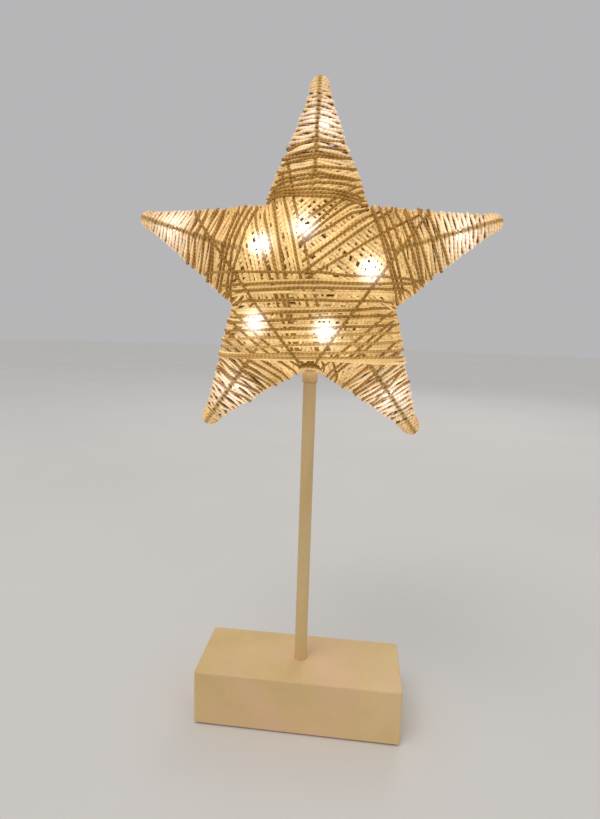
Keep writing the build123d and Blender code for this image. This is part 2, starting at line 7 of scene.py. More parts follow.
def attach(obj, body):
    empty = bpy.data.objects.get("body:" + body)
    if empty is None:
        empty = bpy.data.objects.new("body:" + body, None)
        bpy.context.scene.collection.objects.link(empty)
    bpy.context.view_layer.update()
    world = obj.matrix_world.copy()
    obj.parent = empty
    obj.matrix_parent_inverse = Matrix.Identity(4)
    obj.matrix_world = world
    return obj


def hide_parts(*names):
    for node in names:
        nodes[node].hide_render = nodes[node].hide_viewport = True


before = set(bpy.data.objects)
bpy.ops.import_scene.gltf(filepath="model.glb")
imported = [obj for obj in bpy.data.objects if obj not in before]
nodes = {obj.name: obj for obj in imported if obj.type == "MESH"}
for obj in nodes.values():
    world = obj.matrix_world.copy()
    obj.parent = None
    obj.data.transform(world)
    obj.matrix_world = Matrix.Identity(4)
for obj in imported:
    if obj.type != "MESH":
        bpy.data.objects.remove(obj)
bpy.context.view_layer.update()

MM = 0.001

# =============================================================== star geometry (mm, from the star's centre)
STAR_Z = 281.0
TIP_R, NOTCH_R = 120.5, 51.2
NX, NA = NOTCH_R * math.sin(math.radians(36)), NOTCH_R * math.cos(math.radians(36))
EDGE_DIST = TIP_R * NX / math.hypot(NX, TIP_R - NA)
TAN_ARM = NX / (TIP_R - NA)
K_WIRE = (EDGE_DIST - 3.35) / EDGE_DIST
W_TIP, W_NOTCH = TIP_R * K_WIRE, NOTCH_R * K_WIRE       # corners of the outline wire's centre line
WIRE_R = 0.9
TIP_ARC = 2.35
ARC_AT = W_TIP - TIP_ARC / math.sin(math.atan(TAN_ARM))
RIDGE_END_R, RIDGE_END_Y, RIDGE_APEX_Y = 106.3, 1.56, 25.0
ARM_ANGLES = [90 + 72 * i for i in range(5)]
CORD_R = 0.92
CAP_AT, CAP_END = 102.6, 109.7

LEDS = np.array([
    (9.5, -5.0, -30.0), (47.0, 0.0, -66.0), (32.5, -9.5, 3.5), (82.0, 0.0, 26.0), (2.5, 0.0, 84.0),
    (-4.0, -11.0, 25.0), (-28.0, -8.5, 15.5), (-83.0, 0.0, 28.0), (-31.0, -6.0, -27.0), (-46.0, 0.0, -64.0)])
IN_BODY = np.array([1, 0, 1, 0, 0, 1, 1, 0, 1, 0], bool)


def ridge_y(rho):
    return np.clip(RIDGE_APEX_Y - (RIDGE_APEX_Y - RIDGE_END_Y) / RIDGE_END_R * rho, 0.2, None)


def half_width(a):
    """Half width of the outline wire at a along an arm."""
    a = np.asarray(a, float)
    straight = (W_TIP - a) * TAN_ARM
    arc = np.sqrt(np.clip(TIP_ARC ** 2 - (a - ARC_AT) ** 2, 0, None))
    return np.where(a > ARC_AT + TIP_ARC * math.sin(math.atan(TAN_ARM)), arc, straight).clip(0)


def smooth_noise(rng, x, scale, amp):
    """Smooth random values along x with features about scale long."""
    x = np.asarray(x, float)
    lo, hi = x.min(), x.max()
    n = max(4, int((hi - lo) / scale) + 4)
    knots = rng.uniform(-1, 1, n + 3)
    t = (x - lo) / scale
    i = np.clip(t.astype(int), 0, n)
    f = t - i
    f = f * f * (3 - 2 * f)
    return amp * (knots[i] * (1 - f) + knots[i + 1] * f)


# =============================================================== cord paths
def tip_cap(arm, a0, pitch, rng):
    """Close turns that round off an arm's tip, right up to its end."""
    w0 = float(half_width(CAP_AT)) + WIRE_R + CORD_R * 1.15
    d0 = float(ridge_y(CAP_AT)) + WIRE_R + CORD_R * 1.0
    past = np.linspace(0, math.pi / 2, 60)
    along = np.concatenate([[a0], CAP_AT + (CAP_END - CAP_AT) * np.sin(past)])
    close = np.concatenate([[1 + (CAP_AT - a0) * TAN_ARM / w0], np.cos(past) ** 0.82])
    run = np.concatenate([[0], np.cumsum(np.hypot(np.diff(along), np.diff(close) * (w0 + d0) / 2))])
    turns = run[-1] / pitch
    t = np.linspace(0, turns, int(turns * 24) + 1)
    at = t / turns * run[-1]
    a = np.interp(at, run, along) + smooth_noise(rng, t, 0.5, 0.15)
    shut = np.interp(at, run, close)
    th = 2 * math.pi * t
    round_ = 1.0 / (np.abs(np.cos(th)) ** 1.6 + np.abs(np.sin(th)) ** 1.6) ** (1 / 1.6)
    s, y = np.maximum(w0 * shut, 0.15) * np.cos(th) * round_, np.maximum(d0 * shut, 0.15) * np.sin(th) * round_
    g = math.radians(ARM_ANGLES[arm])
    ax, lat = np.array([math.cos(g), math.sin(g)]), np.array([math.sin(g), -math.cos(g)])
    return np.stack([a * ax[0] + s * lat[0], -y, a * ax[1] + s * lat[1]], 1)


def outline_polygon():
    pts = []
    for g in ARM_ANGLES:
        for r, h in ((W_TIP, g), (W_NOTCH, g + 36)):
            pts.append((r * math.cos(math.radians(h)), r * math.sin(math.radians(h))))
    return np.array(pts)


POLY = outline_polygon()
EDGES = []
for i in range(10):
    p, q = POLY[i], POLY[(i + 1) % 10]
    e = (q - p) / np.hypot(*(q - p))
    n = np.array([e[1], -e[0]])
    if n @ ((p + q) / 2) < 0:
        n = -n
    EDGES.append((p, q, e, n))
wound = [np.full(280, WIRE_R) for _ in EDGES]              # how thick each outline wire has become, every half mm


class Stop:
    """A place where a cord turns round the outline."""

    def __init__(self, edge, along):
        self.edge = edge
        p, q, self.e, self.n = EDGES[edge]
        length = np.hypot(*(q - p))
        self.along = float(np.clip(along, 0.8, length - 0.8))
        self.xz = p + self.e * self.along
        if abs(self.xz[0]) < 3.7 and self.xz[1] < -36:         # beside the stem
            shift = (3.7 - abs(self.xz[0])) / max(abs(self.e[0]), 0.2)
            self.along = self.along + shift * (1 if self.e[0] * np.sign(self.xz[0] + 1e-9) > 0 else -1)
            self.xz = p + self.e * self.along

    def radius(self, r):
        i = int(self.along * 2)
        near = wound[self.edge][max(0, i - 1):i + 2].mean()
        end_r = WIRE_R + r * 0.85 + 2.0 * math.tanh((near - WIRE_R) / 2.6)
        cells = wound[self.edge][max(0, i - 1):i + 3]
        np.maximum(cells, end_r + r * 0.8, out=cells)
        return end_r


def exits(point, direction):
    """The two stops where the line through an inside point leaves the outline."""
    found = []
    for i, (p, q, e, n) in enumerate(EDGES):
        full = q - p
        det = direction[0] * -full[1] + direction[1] * full[0]
        if abs(det) < 1e-9:
            continue
        rhs = p - point
        s = (rhs[0] * -full[1] + rhs[1] * full[0]) / det
        u = (direction[0] * rhs[1] - direction[1] * rhs[0]) / det
        if 0 <= u <= 1:
            found.append((s, i, u * np.hypot(*full)))
    before = max((f for f in found if f[0] < 0), key=lambda f: f[0])
    after = min((f for f in found if f[0] > 0), key=lambda f: f[0])
    return Stop(*before[1:]), Stop(*after[1:])


# height of everything laid so far over each point of the star, front and back
CELL, HALF = 0.55, 118.0
NGRID = int(2 * HALF / CELL) + 1
cover = {-1.0: np.zeros((NGRID, NGRID)), 1.0: np.zeros((NGRID, NGRID))}


def cell_of(pts):
    i = np.clip(((pts + HALF) / CELL + 0.5).astype(int), 0, NGRID - 1)
    return i[:, 0], i[:, 1]


for g in ARM_ANGLES:
    for rho in np.arange(0, RIDGE_END_R, 0.3):
        for off in (-0.6, 0.0, 0.6):
            c, s_ = math.cos(math.radians(g)), math.sin(math.radians(g))
            ix, iz = cell_of(np.array([[rho * c - off * s_, rho * s_ + off * c]]))
            for side in cover:
                cover[side][ix, iz] = np.maximum(cover[side][ix, iz], float(ridge_y(rho)) + WIRE_R)


for x in np.arange(-3.2, 3.3, 0.25):                       # the stem, below the lowest notch
    for z in np.arange(-60.0, -W_NOTCH, 0.25):
        ix, iz = cell_of(np.array([[x, z]]))
        for side in cover:
            cover[side][ix, iz] = np.maximum(cover[side][ix, iz], math.sqrt(max(3.3 ** 2 - x * x, 0.0)))


def lay(p, q, y0, y1, side, r, sit):
    """A taut strand from p to q over whatever lies beneath it; returns its corners and marks it on the map."""
    length = float(np.hypot(*(q - p)))
    n = max(8, int(length / 0.7))
    f = np.linspace(0, 1, n)
    pts = p + (q - p) * f[:, None]
    cross = np.array([-(q - p)[1], (q - p)[0]]) / length
    under = np.zeros(n)
    for off in (-0.45, 0.0, 0.45):
        under = np.maximum(under, cover[side][cell_of(pts + cross * off)])
    y = np.where(under > 0, under + r * sit, 0.0)
    y[0], y[-1] = y0, y1
    hull = []
    for i in range(n):
        while len(hull) >= 2:
            a, b = hull[-2], hull[-1]
            if (f[b] - f[a]) * (y[i] - y[a]) - (y[b] - y[a]) * (f[i] - f[a]) >= 0:
                hull.pop()
            else:
                break
        hull.append(i)
    top = np.interp(f, f[hull], y[hull])
    for off, rise in ((-0.62, 0.55), (-0.3, 0.75), (0.0, 0.8), (0.3, 0.75), (0.62, 0.55)):
        ix, iz = cell_of(pts + cross * off)
        np.maximum.at(cover[side], (ix, iz), top + r * rise)
    return [np.array([pts[i][0], side * y[i], pts[i][1]]) for i in hull[1:-1]]


def wind(stops, r, sit=0.62, first_side=-1.0):
    """A cord passed from stop to stop on the outline, alternately over the front (-Y) and the back (+Y)."""
    radii = [s.radius(r) for s in stops]
    path = []
    side = first_side
    lift = math.sin(math.radians(58))
    last = len(stops) - 1
    for i in range(last):
        s0, s1 = stops[i], stops[i + 1]
        if i == 0:
            path.append(np.array([s0.xz[0] + s0.n[0] * radii[0] * 0.5, side * radii[0] * 0.85, s0.xz[1] + s0.n[1] * radii[0] * 0.5]))
        path += lay(s0.xz, s1.xz, radii[i] * lift, radii[i + 1] * lift, side, r, sit)
        end_r = radii[i + 1]
        if i + 1 < last:
            d = (s1.xz - s0.xz) / np.hypot(*(s1.xz - s0.xz))
            back = (stops[i + 2].xz - s1.xz) / np.hypot(*(stops[i + 2].xz - s1.xz))
            along = np.clip(((d @ s1.e) + (back @ s1.e)) * 0.5, -0.7, 0.7)
            for phi in (58, 30, 0, -30, -58):
                c, s_ = math.cos(math.radians(phi)), math.sin(math.radians(phi))
                drift = along * end_r * math.radians(-phi) * 0.35
                path.append(np.array([s1.xz[0] + s1.n[0] * end_r * c + s1.e[0] * drift, side * end_r * s_,
                                      s1.xz[1] + s1.n[1] * end_r * c + s1.e[1] * drift]))
        else:
            path.append(np.array([s1.xz[0] + s1.n[0] * end_r * 0.5, side * end_r * 0.85, s1.xz[1] + s1.n[1] * end_r * 0.5]))
        side = -side
    return soften(np.array(path))


def soften(p, reach=1.6):
    """Rounds the corners of a polyline within a short reach of each one."""
    seg = np.diff(p, axis=0)
    length = np.linalg.norm(seg, axis=1)
    unit = seg / (length[:, None] + 1e-12)
    out = [p[0]]
    for i in range(1, len(p) - 1):
        a, b = min(reach, length[i - 1] * 0.4), min(reach, length[i] * 0.4)
        u, v = p[i] - unit[i - 1] * a, p[i] + unit[i] * b
        out += [u, (u + v) * 0.25 + p[i] * 0.5, v]
    out.append(p[-1])
    return np.array(out)


def resample(p, step):
    seg = np.linalg.norm(np.diff(p, axis=0), axis=1)
    run = np.concatenate([[0], np.cumsum(seg)])
    n = max(2, int(run[-1] / step) + 1)
    at = np.linspace(0, run[-1], n)
    return np.stack([np.interp(at, run, p[:, c]) for c in range(3)], 1), at


def wobble(p, at, seed, amp, scale=12.0):
    w = np.stack([smooth_noise(np.random.default_rng(seed + c), at, scale, amp) for c in range(3)], 1)
    w[:, 1] *= 0.25
    return p + w


# =============================================================== cord meshes
class Cords:
    """Collects strands and writes them as one mesh with the values its material reads."""

    def __init__(self, name, sides=9):
        self.name, self.sides = name, sides
        self.v, self.f, self.glow, self.twist, self.n = [], [], [], [], 0

    def add(self, path, radius, layer, seed, step=1.15, shade=None):
        p, at = path if isinstance(path, tuple) else resample(path, step)
        rng = np.random.default_rng(seed)
        n = len(p)
        tang = np.gradient(p, axis=0)
        tang /= np.linalg.norm(tang, axis=1)[:, None] + 1e-12
        normal = np.empty_like(p)
        ref = np.array([0.3, 0.5, 0.8])
        v = ref - tang[0] * (ref @ tang[0])
        normal[0] = v / np.linalg.norm(v)
        for i in range(1, n):
            v = normal[i - 1] - tang[i] * float(normal[i - 1] @ tang[i])
            normal[i] = v / (math.sqrt(float(v @ v)) + 1e-12)
        bi = np.cross(tang, normal)
        s = self.sides
        ang = np.arange(s) * 2 * math.pi / s
        swell = 1 + smooth_noise(np.random.default_rng(seed + 3), at, 5.0, 0.07)
        lobes = 1 + 0.055 * np.cos(2 * (ang[None, :] + at[:, None] * 1.15 + rng.uniform(0, 6)))
        rad = radius * swell[:, None] * lobes
        ring = p[:, None, :] + rad[..., None] * (np.cos(ang)[None, :, None] * normal[:, None, :] + np.sin(ang)[None, :, None] * bi[:, None, :])
        outn = (ring - p[:, None, :]) / rad[..., None]
        glow = light_on(ring.reshape(-1, 3), outn.reshape(-1, 3), layer)
        glow *= np.repeat(1 + smooth_noise(np.random.default_rng(seed + 9), at, 23.0, 0.22), s)[:, None]
        if shade is not None:
            glow *= np.repeat(shade(p), s)[:, None]
        idx = self.n + (np.arange(n - 1)[:, None] * s + np.arange(s)[None, :])
        nxt = self.n + (np.arange(n - 1)[:, None] * s + (np.arange(s)[None, :] + 1) % s)
        quads = np.stack([idx, nxt, nxt + s, idx + s], -1).reshape(-1, 4)
        self.f.append(quads)
        for end in (0, n - 1):
            centre = self.n + n * s + (0 if end == 0 else 1)
            a = self.n + end * s + np.arange(s)
            b = self.n + end * s + (np.arange(s) + 1) % s
            c = np.full(s, centre)
            tri = np.stack([b, a, c, c], -1) if end == 0 else np.stack([a, b, c, c], -1)
            self.f.append(tri)
        self.v.append(ring.reshape(-1, 3))
        self.v.append(np.array([p[0] - tang[0] * radius * 0.4, p[-1] + tang[-1] * radius * 0.4]))
        tw = np.stack([np.tile(np.cos(ang), n), np.repeat(at, s), np.tile(np.sin(ang), n)], 1)
        # painted shade: cord sides that face into the star get a darker base colour
        inner_side_shade = np.clip(-0.25 - facing_out(ring.reshape(-1, 3), outn.reshape(-1, 3)), 0, 0.5) * 2
        # random tone per strand; the outer layers get a dark tone, painted shade of cords that the inner light does not
        # reach
        tone = rng.uniform(0.55, 1.0) if layer < 2 else rng.uniform(-0.05, 0.2)
        self.twist.append(np.concatenate([tw, [[0, at[0], 0], [0, at[-1], 0]]]))
        self.glow.append(np.concatenate([np.concatenate([glow, (tone - inner_side_shade * 2.2)[:, None]], 1),
                                         [[*glow[0], tone], [*glow[-1], tone]]]))
        self.n += n * s + 2

    def make(self, material, slot, *replaced):
        v = np.concatenate(self.v)
        v[:, 2] += STAR_Z
        f = np.concatenate(self.f)
        tri = f[:, 2] == f[:, 3]
        loops = np.where(tri, 3, 4)
        starts = np.concatenate([[0], np.cumsum(loops)[:-1]])
        flat = np.empty(int(loops.sum()), np.int32)
        for c in range(3):
            flat[starts + c] = f[:, c]
        flat[starts[~tri] + 3] = f[~tri, 3]
        me = bpy.data.meshes.new(self.name)
        me.vertices.add(len(v))
        me.vertices.foreach_set("co", (v * MM).astype(np.float32).ravel())
        me.loops.add(len(flat))
        me.loops.foreach_set("vertex_index", flat)
        me.polygons.add(len(f))
        me.polygons.foreach_set("loop_start", starts.astype(np.int32))
        me.polygons.foreach_set("loop_total", loops.astype(np.int32))
        me.update(calc_edges=True)
        me.polygons.foreach_set("use_smooth", np.ones(len(f), bool))
        glow = np.concatenate(self.glow).astype(np.float32)
        a = me.attributes.new("glow", "FLOAT_COLOR", "POINT")
        a.data.foreach_set("color", glow.ravel())
        a = me.attributes.new("twist", "FLOAT_VECTOR", "POINT")
        a.data.foreach_set("vector", np.concatenate(self.twist).astype(np.float32).ravel())
        me.materials.append(material)
        me.validate()
        o = bpy.data.objects.new(self.name, me)
        bpy.context.scene.collection.objects.link(o)
        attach(o, "lamp")
        if replaced:
            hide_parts(*replaced)
        return o


# colour of the painted hot spots where the lamps shine through the cord
SPOT_LIGHT_COLOUR = np.array([1.00, 0.965, 0.900])
THROUGH = [1.0, 0.86, 0.45, 0.18, 0.14]      # share of the inner light that gets out through each layer


def facing_out(pos, out):
    """How far each surface point faces out of the star: 1 straight out, -1 straight in."""
    rho = np.hypot(pos[:, 0], pos[:, 2])
    ang = (np.degrees(np.arctan2(pos[:, 2], pos[:, 0])) - 90 + 36) % 72 - 36
    g = np.arctan2(pos[:, 2], pos[:, 0]) - np.radians(ang)
    a = np.maximum(rho * np.cos(np.radians(ang)) - 8.0, 0.0) * np.clip((rho - 20) / 30, 0, 1)
    n = np.stack([pos[:, 0] - a * np.cos(g), pos[:, 1] * 1.6, pos[:, 2] - a * np.sin(g)], 1)
    n /= np.linalg.norm(n, axis=1)[:, None] + 1e-9
    return (out * n).sum(1)


def light_on(pos, out, layer):
    """Painted light: the lamps' light that leaves the cord at each point, as linear RGB, given to the cord as emission.
    """
    soft = np.zeros(len(pos))
    # spot: painted hot spots of light in front of each lamp
    spot = np.zeros(len(pos))
    arm = np.zeros(len(pos))
    for led, inside in zip(LEDS, IN_BODY):
        d2 = ((led[None, :] - pos) ** 2).sum(1)
        if inside:
            flat = (led[0] - pos[:, 0]) ** 2 + (led[2] - pos[:, 2]) ** 2
            soft += 90.0 / (d2 + 160.0)
            spot += np.exp(-flat / 27.0) * np.where(pos[:, 1] < 0, 1.0, 0.25)
        else:
            arm += 330.0 / (d2 + 320.0)
            flat = (led[0] - pos[:, 0]) ** 2 + (led[2] - pos[:, 2]) ** 2
            spot += 0.11 * np.exp(-flat / 60.0) * np.where(pos[:, 1] < 0, 1.0, 0.4)
    rho = np.hypot(pos[:, 0], pos[:, 2])
    tip = np.clip((rho - 50) / 38, 0, 1)
    outward = facing_out(pos, out)
    see = np.clip(0.58 + 0.55 * outward, 0.06, 1.1)
    # painted extra light low in the body and along the top arm
    low = np.clip((-22 - pos[:, 2]) / 14, 0, 1) * np.clip((62 - rho) / 12, 0, 1)
    upper = np.exp(-((pos[:, 2] - 68) / 12) ** 2) * (np.abs(pos[:, 0]) < 26)
    level = (0.20 + soft * 1.12 + low * 0.15 + upper * 0.15 + arm * (0.20 + 0.29 * tip)) * see * THROUGH[layer]
    spot = spot * np.clip(0.8 + 0.4 * outward, 0.2, 1) * (1.0 if layer < 2 else 0.55)
    bright = np.clip(level / 0.65, 0, 1.3)                 # thick cord lets the blue part through least
    green = 0.565 + (0.185 + 0.12 * tip) * bright
    blue = 0.13 + (0.235 + 0.38 * tip) * bright ** 1.2
    return np.stack([level, level * green, level * blue], 1) + (spot * 2.2)[:, None] * SPOT_LIGHT_COLOUR


def frame_shade(p):
    """Shadow of the frame's wires on the innermost layer."""
    x, z = p[:, 0], p[:, 2]
    rho = np.hypot(x, z)
    ang = np.degrees(np.arctan2(z, x))
    near = (ang - 90 + 36) % 72 - 36
    lateral = rho * np.sin(np.radians(near))
    ridge = np.exp(-(lateral / 1.15) ** 4) * np.clip((rho - 30) / 25, 0.25, 1)
    edge = np.clip(1 - np.abs(p[:, 1]) / 4.0, 0, 1)
    return (1 - 0.94 * ridge) * (1 - 0.25 * edge)


# =============================================================== materials
def material(name):
    m = bpy.data.materials.new(name)
    m.use_nodes = True
    nt = m.node_tree
    return m, nt, nt.nodes["Principled BSDF"]


def add(nt, kind, values=None, props=None, **links):
    n = nt.nodes.new(kind)
    for k, v in (props or {}).items():
        setattr(n, k, v)
    for k, v in (values or {}).items():
        n.inputs[k].default_value = v
    for k, v in links.items():
        nt.links.new(v, n.inputs[k.replace("_", " ")])
    return n


def ramp(nt, fac, stops):
    r = nt.nodes.new("ShaderNodeValToRGB")
    el = r.color_ramp.elements
    while len(el) < len(stops):
        el.new(0.5)
    for e, (pos, col) in zip(el, stops):
        e.position = pos
        e.color = (*col, 1) if len(col) == 3 else col
    nt.links.new(fac, r.inputs["Fac"])
    return r


def maths(nt, op, a, b=None, c=None):
    n = nt.nodes.new("ShaderNodeMath")
    n.operation = op
    for i, v in enumerate((a, b, c)):
        if v is None:
            continue
        if isinstance(v, (int, float)):
            n.inputs[i].default_value = v
        else:
            nt.links.new(v, n.inputs[i])
    return n.outputs[0]


def srgb(r, g, b):
    f = lambda c: c / 12.92 if c <= 0.04045 else ((c + 0.055) / 1.055) ** 2.4
    return (f(r / 255), f(g / 255), f(b / 255))


def noise(nt, scale, detail=4.0, rough=0.55, vector=None, dist=0.0):
    n = add(nt, "ShaderNodeTexNoise", {"Scale": scale, "Detail": detail, "Roughness": rough, "Distortion": dist})
    if vector is None:
        vector = add(nt, "ShaderNodeTexCoord").outputs["Object"]
    nt.links.new(vector, n.inputs["Vector"])
    return n.outputs["Fac"]


def bump(nt, height, strength, distance, bsdf, normal=None):
    b = nt.nodes.new("ShaderNodeBump")
    b.inputs["Strength"].default_value = strength
    b.inputs["Distance"].default_value = distance
    nt.links.new(height, b.inputs["Height"])
    if normal is not None:
        nt.links.new(normal, b.inputs["Normal"])
    nt.links.new(b.outputs["Normal"], bsdf.inputs["Normal"])
    return b.outputs["Normal"]


def cord_material(name):
    m, nt, p = material(name)
    glow = add(nt, "ShaderNodeAttribute", props={"attribute_name": "glow"})
    twist = add(nt, "ShaderNodeAttribute", props={"attribute_name": "twist"})
    sep = add(nt, "ShaderNodeSeparateXYZ", Vector=twist.outputs["Vector"])
    c, along, s = sep.outputs[0], sep.outputs[1], sep.outputs[2]
    # ply lines that run round the cord: sin(k * length + angle)
    kx = maths(nt, "MULTIPLY", along, 2.6)
    stripe = maths(nt, "ADD", maths(nt, "MULTIPLY", maths(nt, "SINE", kx), c), maths(nt, "MULTIPLY", maths(nt, "COSINE", kx), s))
    tex = add(nt, "ShaderNodeTexCoord").outputs["Object"]
    fibre = noise(nt, 900.0, 3.0, 0.6, tex)
    blotch = noise(nt, 140.0, 3.0, 0.6, tex)
    # alpha: strand tone with painted shade of the outer layers and of the sides facing into the star
    tone = glow.outputs["Alpha"]
    mixv = maths(nt, "ADD", maths(nt, "MULTIPLY", tone, 0.35), maths(nt, "ADD", maths(nt, "MULTIPLY", blotch, 0.45), maths(nt, "MULTIPLY", stripe, 0.10)))
    # the darkest stop is painted shade, reached on cord sides that face into the star
    colour = ramp(nt, mixv, [(0.0, srgb(38, 24, 12)), (0.06, srgb(136, 86, 20)), (0.22, srgb(162, 108, 30)), (0.45, srgb(210, 165, 88)), (0.80, srgb(230, 196, 130))])
    nt.links.new(colour.outputs["Color"], p.inputs["Base Color"])
    rough = maths(nt, "MULTIPLY_ADD", fibre, 0.25, 0.55)
    nt.links.new(rough, p.inputs["Roughness"])
    height = maths(nt, "ADD", maths(nt, "MULTIPLY", stripe, 0.5), maths(nt, "MULTIPLY", fibre, 0.6))
    bump(nt, height, 0.55, 0.0003, p)
    shade = maths(nt, "ADD", maths(nt, "MULTIPLY_ADD", stripe, 0.10, 0.80), maths(nt, "MULTIPLY", blotch, 0.40))
    # painted light: the cord's glow from the lamps inside, laid on as emission
    lit = nt.nodes.new("ShaderNodeVectorMath")
    lit.operation = "SCALE"
    nt.links.new(glow.outputs["Color"], lit.inputs[0])
    nt.links.new(shade, lit.inputs["Scale"])
    nt.links.new(lit.outputs["Vector"], p.inputs["Emission Color"])
    p.inputs["Emission Strength"].default_value = GLOW
    p.inputs["Sheen Weight"].default_value = 0.05
    p.inputs["Sheen Roughness"].default_value = 0.5
    p.inputs["Specular IOR Level"].default_value = 0.2
    return m


def painted(name, low, mid, high, scale=38.0, rough=(0.42, 0.62), grain=0.35, depth=0.00012, streak=None, patch=None):
    """Brushed or sprayed paint: cloudy tone, faint roller texture, small specks."""
    m, nt, p = material(name)
    tex = add(nt, "ShaderNodeTexCoord").outputs["Object"]
    vec = tex
    if streak is not None:
        mp = add(nt, "ShaderNodeMapping", {"Scale": streak}, Vector=tex)
        vec = mp.outputs["Vector"]
    cloud = noise(nt, scale, 5.0, 0.55, vec, 0.4)
    fine = noise(nt, 620.0, 3.0, 0.6, tex)
    speck = noise(nt, 1900.0, 2.0, 0.5, tex)
    fac = maths(nt, "ADD", maths(nt, "MULTIPLY", cloud, 0.8), maths(nt, "MULTIPLY", fine, 0.2))
    col = ramp(nt, fac, [(0.32, low), (0.52, mid), (0.72, high)])
    if patch is None:
        nt.links.new(col.outputs["Color"], p.inputs["Base Color"])
    else:
        where = ramp(nt, noise(nt, 11.0, 3.0, 0.5, tex, 0.6), [(0.42, (0.0, 0.0, 0.0)), (0.62, (0.75, 0.75, 0.75))])
        mix = nt.nodes.new("ShaderNodeMix")
        mix.data_type = "RGBA"
        nt.links.new(where.outputs["Color"], mix.inputs["Factor"])
        nt.links.new(col.outputs["Color"], mix.inputs[6])
        tinted = ramp(nt, fac, [(0.32, tuple(c * 0.95 for c in patch)), (0.72, patch)])
        nt.links.new(tinted.outputs["Color"], mix.inputs[7])
        nt.links.new(mix.outputs[2], p.inputs["Base Color"])
    r = maths(nt, "MULTIPLY_ADD", fac, rough[1] - rough[0], rough[0])
    nt.links.new(r, p.inputs["Roughness"])
    h = maths(nt, "ADD", maths(nt, "MULTIPLY", fine, grain), maths(nt, "MULTIPLY", speck, 0.25))
    bump(nt, h, 0.35, depth, p)
    return m, nt, p


def metal(name, base, rough=0.32, scale=(400, 400, 8), vary=0.12):
    m, nt, p = material(name)
    tex = add(nt, "ShaderNodeTexCoord").outputs["Object"]
    mp = add(nt, "ShaderNodeMapping", {"Scale": scale}, Vector=tex)
    line = noise(nt, 6.0, 4.0, 0.6, mp.outputs["Vector"])
    dark = tuple(c * (1 - vary) for c in base)
    light = tuple(min(1, c * (1 + vary)) for c in base)
    col = ramp(nt, line, [(0.3, dark), (0.7, light)])
    nt.links.new(col.outputs["Color"], p.inputs["Base Color"])
    nt.links.new(maths(nt, "MULTIPLY_ADD", line, 0.2, rough - 0.1), p.inputs["Roughness"])
    p.inputs["Metallic"].default_value = 1.0
    bump(nt, line, 0.15, 0.00005, p)
    return m


def plastic(name, base, rough=0.45, grain=900.0, depth=0.00006, vary=0.05):
    m, nt, p = material(name)
    tex = add(nt, "ShaderNodeTexCoord").outputs["Object"]
    g = noise(nt, grain, 2.0, 0.5, tex)
    big = noise(nt, 60.0, 3.0, 0.5, tex)
    lo = tuple(c * (1 - vary) for c in base)
    hi = tuple(min(1, c * (1 + vary)) for c in base)
    col = ramp(nt, big, [(0.3, lo), (0.7, hi)])
    nt.links.new(col.outputs["Color"], p.inputs["Base Color"])
    nt.links.new(maths(nt, "MULTIPLY_ADD", g, 0.18, rough - 0.09), p.inputs["Roughness"])
    bump(nt, g, 0.3, depth, p)
    return m


GLOW = 1.0

cord_mats = {s: cord_material("paper_" + s) for s in ("cord_top", "cord_left", "cord_right", "cord_lower_left", "cord_lower_right", "cord_body")}

# =============================================================== wind the star
ARM_NAMES = ["top", "left", "lower_left", "lower_right", "right"]


def arm_stops(arm, places, lean=0.0, step=0.0):
    """Stops of a cord wound round an arm at the given places along it."""
    g = math.radians(ARM_ANGLES[arm])
    ax, lat = np.array([math.cos(g), math.sin(g)]), np.array([math.sin(g), -math.cos(g)])
    stops = []
    for a in places:
        lean_dir = lat + ax * (lean + step) / (2 * max(float(half_width(a)), 4.0))
        lean_dir = lean_dir / np.hypot(*lean_dir)
        before, after = exits(ax * a, lean_dir)
        stops += [before, after]
    return stops


def notch(i):
    h = math.radians(126 + 72 * i)
    return np.array([W_NOTCH * math.cos(h), W_NOTCH * math.sin(h)])


def family(i, j, distances, lean=0.0):
    """Stops of a cord that runs back and forth parallel to the line between notches i and j."""
    a, b = notch(i), notch(j)
    u = (b - a) / np.hypot(*(b - a))
    c, s_ = math.cos(math.radians(lean)), math.sin(math.radians(lean))
    u = np.array([u[0] * c - u[1] * s_, u[0] * s_ + u[1] * c])
    out = (a + b) / np.hypot(*(a + b))
    stops = []
    for d in distances:
        before, after = exits(out * d, u)
        stops += [before, after]
    return stops


def strands(lines):
    """Stops for front strands laid along given lines, each a pair of points (x, z)."""
    stops = []
    for p, q in lines:
        p, q = np.array(p), np.array(q)
        before, after = exits((p + q) / 2, (q - p) / np.hypot(*(q - p)))
        stops += [before, after]
    return stops


def spread(lo, hi, pitch, seed, vary=0.22):
    rng = np.random.default_rng(seed)
    n = int(abs(hi - lo) / pitch) + 1
    return lo + math.copysign(1, hi - lo) * (np.arange(n) * pitch + rng.uniform(-vary, vary, n) * pitch)


def laid(cords, stops, r, layer, seed, amp=0.4, scale=12.0, step=1.3, shade=None, move=None, sit=0.62):
    p, at = resample(wind(stops, r, sit), step)
    p = wobble(p, at, seed, amp, scale)
    if move is not None:
        p = move(p)
    cords.add((p, at), r, layer, seed + 5, shade=shade)


arms = [Cords("twine_" + n, 9) for n in ARM_NAMES]
inner, middle, outer, last = Cords("twine_body_inner", 8), Cords("twine_body_middle", 8), Cords("twine_body_outer", 8), Cords("twine_body_last", 9)

